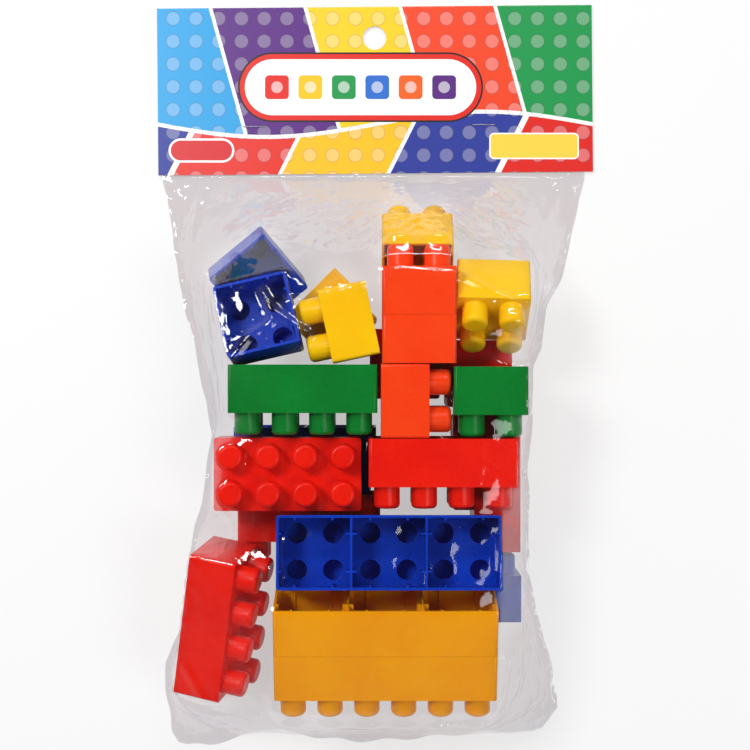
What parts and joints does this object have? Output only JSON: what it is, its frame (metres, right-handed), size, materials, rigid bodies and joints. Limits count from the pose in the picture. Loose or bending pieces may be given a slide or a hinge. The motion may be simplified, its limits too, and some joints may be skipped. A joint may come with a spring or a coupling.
{
  "type": "bag of toy building blocks",
  "caption": "Hanging retail pack of large stacking blocks: folded header card stapled over a clear film bag of two-row plastic blocks in five colours",
  "frame": {"origin": "centre of the pack's footprint, on the surface that the pack lies on", "axes": "+X to the right and +Y up the pack towards the hang hole, seen from the front; +Z out of the front"},
  "size_m": [0.2412, 0.41, 0.0822],
  "materials": {
    "card": "coated board, printed on the front",
    "staple_wire": "drawn wire",
    "bag_film": "clear glossy film",
    "red_plastic": "moulded, semi-gloss",
    "orange_plastic": "moulded, semi-gloss",
    "yellow_plastic": "moulded, semi-gloss",
    "blue_plastic": "moulded, semi-gloss",
    "green_plastic": "moulded, semi-gloss"
  },
  "bodies": {
    "pack": {"header_card": "card", "staples": "staple_wire", "bag_front_film": "bag_film", "bag_back_film": "bag_film", "blue_block_back_2x2": "blue_plastic", "blue_block_open_2x2": "blue_plastic", "yellow_block_side_2x2": "yellow_plastic", "yellow_block_corner_2x2": "yellow_plastic", "orange_block_lower_2x2": "orange_plastic", "orange_block_sideways_2x2": "orange_plastic", "yellow_block_right_2x2": "yellow_plastic", "green_block_2x4": "green_plastic", "green_block_2x2": "green_plastic", "red_block_studs_2x4": "red_plastic", "red_block_side_2x4": "red_plastic", "blue_block_2x6": "blue_plastic", "yellow_block_upper_2x6": "yellow_plastic", "red_block_tilted_2x4": "red_plastic", "red_block_under_left_2x4": "red_plastic", "blue_block_under_left_2x4": "blue_plastic", "red_block_under_right_2x4": "red_plastic", "blue_block_under_right_2x4": "blue_plastic", "red_block_under_top_2x2": "red_plastic", "red_block_under_middle_2x2": "red_plastic"},
    "orange_pair_end": {"orange_block_upper_2x2": "orange_plastic", "yellow_block_top_2x2": "yellow_plastic"},
    "yellow_stack_end": {"yellow_block_lower_2x6": "yellow_plastic"}
  },
  "joints": [
    {"name": "orange_block_pull", "type": "slide", "parent": "pack", "child": "orange_pair_end", "axis": [0, 1, 0], "range_m": [0, 0.005]},
    {"name": "yellow_block_pull", "type": "slide", "parent": "pack", "child": "yellow_stack_end", "axis": [0, -0.9659, -0.2588], "range_m": [0, 0.005]}
  ]
}
